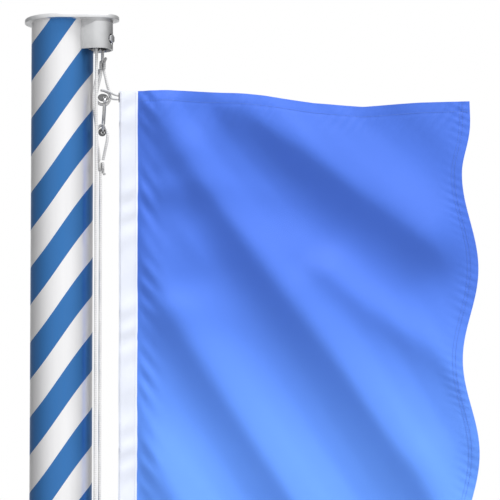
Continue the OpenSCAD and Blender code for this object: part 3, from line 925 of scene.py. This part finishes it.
@dataclass(frozen=True)
class ClipSet:
    """Knots, rope legs, snap hook and its eyes at one corner of the flag."""

    hang: Hang
    end: End
    rope: float = 5 * MM
    cord: float = 4 * MM
    knot_top: float = 49.0
    knot_low: float = -114.0
    knot_low_along: float = -1.6

    def _rope_piece(self, kind: str, points: Sequence[Sequence[float]], maker: RopeMaker, finish: Finish,
                    extra: Sequence[Sequence[float]] | None = None) -> None:
        """Sweeps one rope piece along its route.

        Args:
            kind: the CAD node's name without its end.
            points: the route, in millimetres in the hanging frame.
            maker: the rope's size and braid.
            finish: its finish.
            extra: a second route in the same piece, such as a knot's tail.
        """
        low = self.end is End.LOW
        skin = maker.sweep(self.hang.place(spline(points, 12) * MM, low))
        if extra is not None:
            skin = skin + maker.sweep(self.hang.place(spline(extra, 10) * MM, low))
        node = f"{kind}_{self.end.value}"
        make_piece("braided_" + node, skin, [finish], "mast", [node], 70.0)

    def _knot(self, kind: str, along: float, top: float, turned: bool) -> None:
        """Ties one knot: two upright lobes, a pass behind them and a short tail.

        Args:
            kind: the CAD node's name without its end.
            along: the knot's middle along the flag, in millimetres.
            top: its highest point above the flag's top corner, in millimetres.
            turned: True where its tail hangs down.
        """
        height = 17.0 if turned else 15.0
        flip = -1 if turned else 1

        def shifted(points: Sequence[Sequence[float]]) -> list[tuple[float, float, float]]:
            """Moves the knot's route to its place."""
            base = top - height if turned else top
            return [(along + u, v, base + flip * z) for u, v, z in points]

        # the knot wears the darker rope, painted shade
        self._rope_piece(kind, shifted(KNOT), RopeMaker(self.rope * 0.98, taper=1.5 * MM), SHADED_KNOT_ROPE,
                         shifted(KNOT_TAIL))

    def build(self) -> None:
        """Makes the set's pieces."""
        rope = RopeMaker(self.rope)
        self._knot("knot_a", 0.0, self.knot_top, False)
        self._rope_piece("eye_a", EYE_TOP, rope, ROPE)
        self._rope_piece("bypass", BYPASS, rope, ROPE)
        self._rope_piece("eye_b", EYE_LOW, rope, ROPE)
        self._knot("knot_b", self.knot_low_along, self.knot_low, True)
        self._rope_piece("flag_loop", FLAG_LOOP, RopeMaker(self.cord, pitch=4 * MM, taper=1 * MM), CORD)
        name = self.end.value
        machined(f"thimble_a_{name}", DARK_STEEL_AND_SHADE, 1.2 * MM)
        machined(f"thimble_b_{name}", DARK_STEEL_AND_SHADE, 1.2 * MM)
        machined(f"snap_hook_{name}", HOOK_STEEL, 0.3 * MM, sharp_deg=40)
        machined(f"hook_gate_{name}", GATE_STEEL, 0.3 * MM, f"gate_{name}", 40)


@dataclass(frozen=True)
class Halyard:
    """The endless rope: up the front, over the wheel, down the back and round the cleat."""

    hang: Hang
    diameter: float = 5 * MM
    turn_points: int = 40
    horn_inset: float = 7 * MM
    horn_radius: float = 7 * MM
    belay_half_width: float = 15 * MM

    def build(self) -> None:
        """Makes the halyard's pieces."""
        low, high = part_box("halyard_front")
        rear_low, rear_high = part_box("halyard_rear_low")
        x, front = (low.x + high.x) / 2, (low.y + high.y) / 2
        rear = (rear_low.y + rear_high.y) / 2
        radius = (rear - front) / 2
        bend = np.linspace(0, math.pi, self.turn_points)
        under = [(x, radius * math.cos(a), low.z - radius * math.sin(a)) for a in bend]
        over = [(x, -radius * math.cos(a), high.z + radius * math.sin(a)) for a in bend]
        top_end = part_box("halyard_rear_top")[0].z
        path = np.array([(x, rear, rear_high.z), *under, *over, (x, rear, top_end)])
        maker = RopeMaker(self.diameter, sides=12, step=1.5 * MM, relief=0.06)
        nodes = ["halyard_rear_low", "halyard_turn", "halyard_front", "halyard_over_sheave",
                 "halyard_rear_top"]
        make_piece("braided_halyard", maker.sweep(path), [ROPE], "mast", nodes, 70.0)

        foot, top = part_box("halyard_hoist")
        middle = (foot + top) / 2
        strand = np.array([(middle.x, middle.y, top.z), (middle.x, middle.y, foot.z)])
        make_piece("braided_halyard_hoist", maker.sweep(strand), [ROPE], "mast",
                   ["halyard_hoist"], 70.0)
        self._belay()

    def _belay(self) -> None:
        """Winds the figure of eight round the cleat's horns."""
        foot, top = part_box("halyard_belay")
        cleat_foot, cleat_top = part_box("cleat")
        level = (cleat_foot.z + cleat_top.z) / 2
        rope = self.diameter
        tall = (top.z - foot.z - rope) / 2
        turn = np.radians(np.linspace(6, 354, 160))
        horn = cleat_top.x - self.horn_inset
        near = horn - self.horn_radius - rope / 2 - 1.2 * MM
        far = horn + self.horn_radius + rope / 2 + 0.3 * MM
        lift = np.where(turn > math.pi, (rope + 0.3 * MM) * np.sin(turn) ** 2, 0)
        depth = (1 - np.cos(2 * turn)) / 2
        path = np.stack([near + (far - near) * depth + lift, self.belay_half_width * np.sin(2 * turn),
                         level + tall * np.cos(turn)], 1)
        wound = RopeMaker(rope, taper=1.5 * MM).sweep(path)
        make_piece("braided_belay", wound, [ROPE], "mast", ["halyard_belay"], 70.0)


@dataclass(frozen=True)
class Cleat:
    """Two-horned cleat and its screws."""

    def build(self) -> None:
        """Makes the cleat's pieces."""
        machined("cleat", CAST_ALUMINIUM, 1.5 * MM)
        machined("cleat_screws", STAINLESS, 0.3 * MM)


# ---------------------------------------------------------------- flag


@dataclass(frozen=True)
class Crest:
    """One fold's ridge: points across and down from the cloth's top hoist corner, in millimetres."""

    line: tuple[tuple[float, float], ...]
    height: float = 20.0
    near: float = 62.0
    far: float = 62.0
    crown: float = 14.0


CRESTS = (
    Crest(((8, 0), (30, 31), (63, 80), (128, 177), (200, 275), (276, 372), (348, 470), (414, 567),
           (458, 630), (530, 780)), 34, 44, 31),
    Crest(((125, 0), (176, 31), (268, 80), (337, 128), (401, 177), (460, 226), (530, 278)), 33, 50, 29, 18),
    Crest(((400, -60), (500, 60), (580, 190)), 13, 62, 40, 20),
    Crest(((-20, 160), (18, 250), (36, 324), (62, 372), (124, 470), (190, 570), (300, 735), (400, 900),
           (490, 1080), (535, 1260)), 30, 42, 28),
    Crest(((272, 258), (345, 318), (410, 368), (475, 418), (515, 470), (540, 540), (560, 640)),
          16, 32, 26, 8),
    Crest(((-50, 380), (-20, 440), (10, 545), (50, 640), (128, 785), (225, 950), (310, 1110), (390, 1280),
           (440, 1500)), 28, 42, 29),
    Crest(((16, 95), (40, 150), (80, 235), (115, 310)), 11, 24, 30, 8),
    Crest(((0, 760), (70, 905), (140, 1050), (205, 1210), (255, 1360), (285, 1500)), 33),
    Crest(((0, 1060), (60, 1190), (105, 1330), (130, 1500)), 28),
)
TOP_EDGE = ((0, 0), (0.09, 0), (0.24, 4), (0.38, 10), (0.53, 20), (0.68, 25), (0.85, 19), (1, 16))


class FoldMap:
    """Height of the folds over the flat cloth, kept on a grid and read back without corners."""

    steps: int = 24
    start_run: float = 70.0
    start_share: float = 0.35
    end_run: float = 110.0
    end_share: float = 0.15
    near_rounding: float = 3.0
    tip_hold: float = 8.0
    tip_fade: float = 45.0

    def __init__(self, width: float, length: float, cell: float = 5.0, soften: float = 9.0) -> None:
        """Adds up every crest on the grid and softens the result.

        Args:
            width: of the area, in millimetres.
            length: of the area, in millimetres.
            cell: the grid's spacing.
            soften: how far the heights are blurred.
        """
        self.cell = cell
        self.edge = 4
        across = (np.arange(int(width / cell) + 2 * self.edge) - self.edge) * cell
        down = (np.arange(int(length / cell) + 2 * self.edge) - self.edge) * cell
        spots = np.stack(np.meshgrid(across, down), axis=-1).reshape(-1, 2)
        total = np.zeros(len(spots))
        for crest in CRESTS:
            total += self._fold(crest, spots)
        grid = total.reshape(len(down), len(across))
        reach = int(3 * soften / cell)
        weights = np.exp(-0.5 * (np.arange(-reach, reach + 1) * cell / soften) ** 2)
        weights /= weights.sum()
        for axis in (0, 1):
            padded = np.pad(grid, [(reach, reach) if k == axis else (0, 0) for k in (0, 1)], "edge")
            grid = np.apply_along_axis(np.convolve, axis, padded, weights, "valid")
        self.grid = grid

    def _fold(self, crest: Crest, spots: np.ndarray) -> np.ndarray:
        """Height of one fold, quick to fall on its near side and slow on its far side.

        Args:
            crest: the fold's line, height and reach.
            spots: places on the flat cloth, in millimetres.

        Returns:
            The height at each spot, in millimetres.
        """
        points = spline(crest.line, self.steps)
        ahead = np.gradient(points, axis=0)
        ahead /= np.linalg.norm(ahead, axis=1, keepdims=True)
        run = np.concatenate([[0], np.cumsum(np.linalg.norm(np.diff(points, axis=0), axis=1))])
        strength = (smooth_step(run / self.start_run + self.start_share)
                    * smooth_step((run[-1] - run) / self.end_run + self.end_share))
        gap = spots[:, None, :] - points[None, :, :]
        near = np.argmin((gap ** 2).sum(axis=2), axis=1)
        gap = gap[np.arange(len(spots)), near]
        way = ahead[near]
        aside = gap[:, 0] * way[:, 1] - gap[:, 1] * way[:, 0]
        past = gap[:, 0] * way[:, 0] + gap[:, 1] * way[:, 1]
        reach = np.where(aside > 0, crest.near, crest.far)
        crown = np.where(aside > 0, self.near_rounding * crest.crown, crest.crown)
        rounded = np.sqrt(aside ** 2 + crown ** 2) - crown
        fade = np.exp(-(np.maximum(np.abs(past) - self.tip_hold, 0) / self.tip_fade) ** 2)
        return crest.height * strength[near] * np.exp(-rounded / reach) * fade

    def read(self, across: np.ndarray, down: np.ndarray) -> np.ndarray:
        """Reads the height as a smooth blend of the grid.

        Args:
            across: metres from the hoist.
            down: metres down the cloth.

        Returns:
            The height at each place, in millimetres.
        """
        column = np.clip(across / MM / self.cell + self.edge, 1, self.grid.shape[1] - 3.001)
        row = np.clip(down / MM / self.cell + self.edge, 1, self.grid.shape[0] - 3.001)
        first_column, first_row = column.astype(int), row.astype(int)

        def shares(t: np.ndarray) -> list[np.ndarray]:
            """Returns the four cubic shares at t between two grid lines."""
            return [(1 - t) ** 3 / 6, (3 * t ** 3 - 6 * t ** 2 + 4) / 6,
                    (-3 * t ** 3 + 3 * t ** 2 + 3 * t + 1) / 6, t ** 3 / 6]

        total = np.zeros(across.shape)
        for i, by_row in enumerate(shares(row - first_row)):
            for k, by_column in enumerate(shares(column - first_column)):
                total += by_row * by_column * self.grid[first_row + i - 1, first_column + k - 1]
        return total


@dataclass(frozen=True)
class Gather:
    """Small gathers along one seam, in millimetres."""

    depth: float
    inset: float
    spread: float
    slant: float
    spacing: float
    drift: float
    drift_length: float

    def height(self, along: np.ndarray, from_edge: np.ndarray) -> np.ndarray:
        """Returns the gathers' height at places given by run along the seam and distance from it."""
        turn = math.tau * (along + self.slant * from_edge) / self.spacing
        fade = np.exp(-((from_edge - self.inset) / self.spread) ** 2)
        return self.depth * fade * np.sin(turn + self.drift * np.sin(along / self.drift_length))


TOP_GATHER = Gather(0.8, 24, 20, 0.6, 17, 1.4, 31)
HOIST_GATHER = Gather(1.4, 12, 20, -1.3, 36, 1.2, 57)
FLY_GATHER = Gather(0.4, 14, 18, 0.5, 14, 1.5, 41)
FOOT_GATHER = Gather(1.2, 24, 20, -0.6, 17, 1.1, 27)


@dataclass(frozen=True)
class Ripple:
    """Shallow waves of one spacing, in millimetres."""

    depth: float
    spacing: float
    bend: float
    bend_length: float
    bend_phase: float
    steady: float
    swell: float
    swell_length: float
    swell_phase: float

    def height(self, aside: np.ndarray, along: np.ndarray) -> np.ndarray:
        """Returns the waves' height at places given by distance across and run along the folds."""
        bend = self.bend * np.sin(along / self.bend_length + self.bend_phase)
        wave = self.depth * np.sin(math.tau * aside / self.spacing + bend)
        return wave * (self.steady + self.swell * np.sin(along / self.swell_length + self.swell_phase))


BROAD_RIPPLE = Ripple(0.7, 83, 0.9, 160, 0, 0.6, 0.4, 118, 0.5)
FINE_RIPPLE = Ripple(0.22, 37, 1.7, 95, 1, 0.5, 0.5, 83, 0)


@dataclass
class Flag:
    """Satin cloth on a header tape, hung from its hoist, with hems and stitching."""

    hang: Hang
    header_near: float = 27.2 * MM
    header_far: float = 57.2 * MM
    hem: float = 17 * MM
    fly: float = 591 * MM
    fly_wave: float = 13 * MM
    fly_length: float = 305 * MM
    fly_phase: float = 200 * MM
    stitch: float = 3.2 * MM
    stitch_gap: float = 1.1 * MM
    thread: float = 0.45 * MM
    seam_width: float = 2.6
    seam_depth: float = 0.35
    plain_strip: float = 10.0
    hoist_reach: float = 90 * MM
    set_back: float = 10.0
    sway: float = 4.0
    sway_length: float = 0.9
    sag_length: float = 0.9
    fly_calm: float = 120 * MM
    hoist_calm: float = 32 * MM
    overlap: float = 0.5 * MM
    sway_lean: float = 2.0
    columns: int = 140
    rows: int = 560
    share_steps: int = 66
    edge_crowding: float = 0.85
    row_start: float = 4 * MM
    fly_row_gap: float = 5 * MM
    row_out: float = 0.25 * MM
    tape_rows: int = 500
    tape_columns: int = 15
    tape_half_thick: float = 1.35 * MM
    tape_wander: float = 0.3 * MM
    tape_wander_length: float = 33 * MM
    tape_row_near: float = 3 * MM
    tape_row_far: float = 3.5 * MM
    tape_row_out: float = 1.5 * MM
    bar_half: float = 8.5 * MM
    bar_drop: float = 10.5 * MM
    bar_inset: float = 0.3 * MM
    bar_half_thick: float = 0.9 * MM
    bar_half_wide: float = 1.9 * MM
    bar_rows: int = 17
    bar_sides: int = 12

    def __post_init__(self) -> None:
        """Reads the cloth's place from the frame."""
        low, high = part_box("flag_header")
        self.length = high.z - low.z
        self.folds = FoldMap((self.fly + self.fly_wave - self.header_far) / MM, self.length / MM)

    @staticmethod
    def ripples(across: np.ndarray, down: np.ndarray) -> np.ndarray:
        """Shallow soft waves that run with the folds.

        Args:
            across: metres from the hoist.
            down: metres down the cloth.

        Returns:
            Their height at each place, in millimetres.
        """
        x, y = across / MM, down / MM
        aside = 0.82 * x - 0.57 * y + 14 * np.sin(x / 140 + y / 210)
        along = 0.57 * x + 0.82 * y
        return BROAD_RIPPLE.height(aside, along) + FINE_RIPPLE.height(aside, along)

    def puckers(self, across: np.ndarray, down: np.ndarray, width: np.ndarray) -> np.ndarray:
        """Small gathers that the seams pull into the cloth.

        Args:
            across: metres from the hoist.
            down: metres down the cloth.
            width: of the cloth at that height, in metres.

        Returns:
            Their height at each place, in millimetres.
        """
        x, y = across / MM, down / MM
        from_fly = (width - across) / MM
        foot = (self.length - down) / MM
        drift = 0.6 + 0.4 * np.sin(x * 0.037 + 1.3) * np.sin(y * 0.043 + 0.4)
        pulled = (TOP_GATHER.height(x, y) + HOIST_GATHER.height(y, x) + FLY_GATHER.height(y, from_fly)
                  + FOOT_GATHER.height(x, foot))
        hem = self.hem / MM
        seams = sum(np.exp(-((edge - hem) / self.seam_width) ** 2) for edge in (y, foot, from_fly))
        return pulled * drift * smooth_step(x / self.plain_strip) - self.seam_depth * seams

    def surface(self, share: np.ndarray, down: np.ndarray) -> np.ndarray:
        """Place of the cloth in the model's frame.

        Args:
            share: 0 at the hoist edge to 1 at the fly.
            down: metres down the cloth.

        Returns:
            The places, in metres.
        """
        edge = self.fly + self.fly_wave * np.sin(math.tau * (down - self.fly_phase) / self.fly_length) \
            * smooth_step(down / self.fly_calm)
        width = edge - self.header_far
        across = share * width
        sag = np.interp(share, *zip(*TOP_EDGE)) * MM * np.exp(-down / self.sag_length)
        inner = smooth_step(across / self.hoist_calm)
        held = np.exp(-across / self.hoist_reach)
        height = (self.folds.read(across, down) - held * self.folds.read(0 * across, down)
                  - self.set_back * (1 - held) + inner * self.ripples(across, down))
        sway = self.sway * np.sin(math.tau * down / self.sway_length + self.sway_lean * share)
        away = -(height + self.puckers(across, down, width)) + sway * inner
        flat = np.stack([self.header_far - self.overlap + across, away * MM, -down - sag], axis=-1)
        return self.hang.place(flat.reshape(-1, 3)).reshape(flat.shape)

    def _cloth(self) -> bpy.types.Object:
        """Makes the cloth as one fine sheet, finer near its hems."""
        half = np.linspace(0, 1, self.share_steps)
        share = 0.5 - 0.5 * np.sign(0.5 - half) * np.abs(1 - 2 * half) ** self.edge_crowding
        down = np.linspace(0, self.length, self.rows)
        share = np.interp(np.linspace(0, 1, self.columns), half, share)
        grid_share, grid_down = np.meshgrid(share, down)
        places = self.surface(grid_share, grid_down)
        rows, columns = grid_share.shape
        row, column = np.meshgrid(np.arange(rows - 1), np.arange(columns - 1), indexing="ij")
        start = (row * columns + column).ravel()
        faces = np.stack([start, start + columns, start + columns + 1, start + 1], axis=1)
        metres = np.stack([grid_share.ravel() * (self.fly - self.header_far), -grid_down.ravel()], 1)
        return make_piece("satin_flag", Skin(places.reshape(-1, 3), [*map(tuple, faces.tolist())],
                                             metres[faces.ravel()]), [SATIN], "mast",
                          ["flag_cloth"], 180.0)

    def _stitches(self, centres: np.ndarray, ways: np.ndarray, sides: np.ndarray) -> Skin:
        """Makes a row of short threads.

        Args:
            centres: the middle of each stitch.
            ways: its direction.
            sides: the cloth's normal there.

        Returns:
            The threads' skin.
        """
        ways = ways / np.linalg.norm(ways, axis=1, keepdims=True)
        sides = sides / np.linalg.norm(sides, axis=1, keepdims=True)
        other = np.cross(ways, sides)
        half = self.stitch / 2
        thick = self.thread
        shape = [(-half, 0, 0)]
        for along in (-0.6 * half, 0.6 * half):
            shape += [(along, thick, 0), (along, 0, thick), (along, -thick, 0), (along, 0, -thick)]
        shape += [(half, 0, 0)]
        local = np.array(shape)
        points = (centres[:, None] + local[None, :, 0:1] * ways[:, None]
                  + local[None, :, 1:2] * other[:, None] + local[None, :, 2:3] * sides[:, None])
        ring = [(0, 2, 1), (0, 3, 2), (0, 4, 3), (0, 1, 4), (9, 5, 6), (9, 6, 7), (9, 7, 8), (9, 8, 5)]
        sides_of = [(1, 2, 6, 5), (2, 3, 7, 6), (3, 4, 8, 7), (4, 1, 5, 8)]
        faces = [tuple(i + 10 * n for i in face) for n in range(len(centres)) for face in ring + sides_of]
        count = sum(len(face) for face in faces)
        return Skin(points.reshape(-1, 3), faces, np.zeros((count, 2)))

    def _row(self, share: np.ndarray, down: np.ndarray) -> Skin:
        """Sews one row along the cloth, seen on both its faces."""
        step = 0.4 * MM
        here = self.surface(share, down)
        along = np.gradient(here, axis=0)
        side = self.surface(share + 0.001, down) - here
        fall = self.surface(share, down + step) - here
        normal = np.cross(side, fall)
        normal /= np.linalg.norm(normal, axis=1, keepdims=True)
        return self._stitches(here + self.row_out * normal, along, normal) + \
            self._stitches(here - self.row_out * normal, along, normal)

    def _hems(self) -> bpy.types.Object:
        """Sews the rows along the top, the foot and the fly."""
        width = self.fly - self.header_far
        pace = self.stitch + self.stitch_gap
        across = np.arange(self.row_start, width - self.row_start, pace) / width
        down = np.arange(self.row_start, self.length - self.row_start, pace)
        skin = self._row(across, np.full_like(across, self.hem))
        skin = skin + self._row(across, np.full_like(across, self.length - self.hem))
        for inset in (self.hem, self.hem - self.fly_row_gap):
            skin = skin + self._row(np.full_like(down, 1 - inset / width), down)
        return make_piece("hem_stitches", skin, [THREAD_BLUE], "mast", (), 60.0)

    @staticmethod
    def tape_wave(aside: np.ndarray, level: np.ndarray) -> np.ndarray:
        """Soft slanted creases of the header tape.

        Args:
            aside: metres from the tape's middle line.
            level: metres above its top, so below zero.
        """
        slant = level - 0.7 * aside
        soft = 1 - 0.75 * (aside / (15 * MM)) ** 2
        return MM * soft * (0.75 * np.sin(slant / (7.5 * MM) + 1.5 * np.sin(level / (31 * MM)))
                            + 0.5 * np.sin(slant / (17 * MM) + 0.8)) * 1.15

    def _header(self) -> tuple[bpy.types.Object, bpy.types.Object]:
        """Makes the header tape and the rows that hold it."""
        level = np.linspace(0, -self.length, self.tape_rows)
        half_w = (self.header_far - self.header_near) / 2
        across = np.linspace(-1, 1, self.tape_columns)
        thick = self.tape_half_thick * np.sqrt(np.clip(1 - np.abs(across) ** 9, 0.02, 1))
        ring_u = half_w * np.concatenate([across, across[::-1]])
        ring_v = np.concatenate([-thick, thick[::-1]])
        middle = (self.header_near + self.header_far) / 2
        wander = self.tape_wander * np.sin(level / self.tape_wander_length)
        u = middle + ring_u[None, :] + wander[:, None]
        v = ring_v[None, :] + self.tape_wave(ring_u[None, :], level[:, None])
        z = np.broadcast_to(level[:, None], u.shape)
        count = len(ring_u)
        rings = self.hang.place(np.stack([u, v, z], -1).reshape(-1, 3)).reshape(self.tape_rows, count, 3)
        skin = rings_to_skin(rings, np.arange(count + 1) / count * 4 * half_w, level)
        tape = make_piece("header_tape", skin, [TAPE], "mast", ["flag_header"], 60.0)
        pace = self.stitch + self.stitch_gap
        line = np.arange(-self.row_start, -self.length + self.row_start, -pace)
        made = []
        for along in (self.header_near + self.tape_row_near, self.header_far - self.tape_row_far):
            for face in (-1, 1):
                outward = np.full_like(line, face * self.tape_row_out)
                spot = np.stack([np.full_like(line, along), outward, line], 1)
                spot[:, 1] += self.tape_wave(np.full_like(line, along - middle), line)
                centre = self.hang.place(spot)
                normal = self.hang.place(spot + np.array([0, face * MM, 0])) - centre
                made.append(self._stitches(centre, np.gradient(centre, axis=0), normal))
        threads = sum(made[1:], made[0])
        sewn = make_piece("header_stitches", threads, [THREAD_WHITE], "mast", (), 60.0)
        return tape, sewn

    def _shadow_bar(self) -> None:
        """Makes a dark bar at the tape's edge where the flag cord goes in: a painted shadow of the slit
        there.
        """
        share = np.linspace(-1, 1, self.bar_rows)
        size = np.sqrt(np.clip(1 - share ** 8, 0, 1)) + 0.02
        turn = np.linspace(0, math.tau, self.bar_sides + 1)[:-1]
        u = self.header_near - self.bar_inset + self.bar_half_thick * size[:, None] * np.cos(turn)[None, :]
        v = self.bar_half_wide * size[:, None] * np.sin(turn)[None, :]
        z = np.broadcast_to((-self.bar_drop + self.bar_half * share)[:, None], u.shape)
        places = self.hang.place(np.stack([u, v, z], -1).reshape(-1, 3))
        rings = places.reshape(self.bar_rows, self.bar_sides, 3)
        around = np.arange(self.bar_sides + 1) / self.bar_sides * 8 * MM
        skin = rings_to_skin(rings, around, self.bar_half * share)
        make_piece("header_shadow_bar", skin, [DARK_STEEL_AND_SHADE], "mast", (), 40.0)

    def build(self) -> None:
        cloth = self._cloth()
        hems = self._hems()
        tape, sewn = self._header()
        self._shadow_bar()


def main() -> None:
    """Builds the scene in order."""
    logging.basicConfig(level=logging.INFO, format="%(name)s %(message)s")
    Studio().build()
    hang = Hang.from_frame()
    for part in (Base(), Pole(), Head(), Halyard(hang), ClipSet(hang, End.TOP), ClipSet(hang, End.LOW),
                 Cleat(), Flag(hang)):
        part.build()


if __name__ == "__main__":
    main()
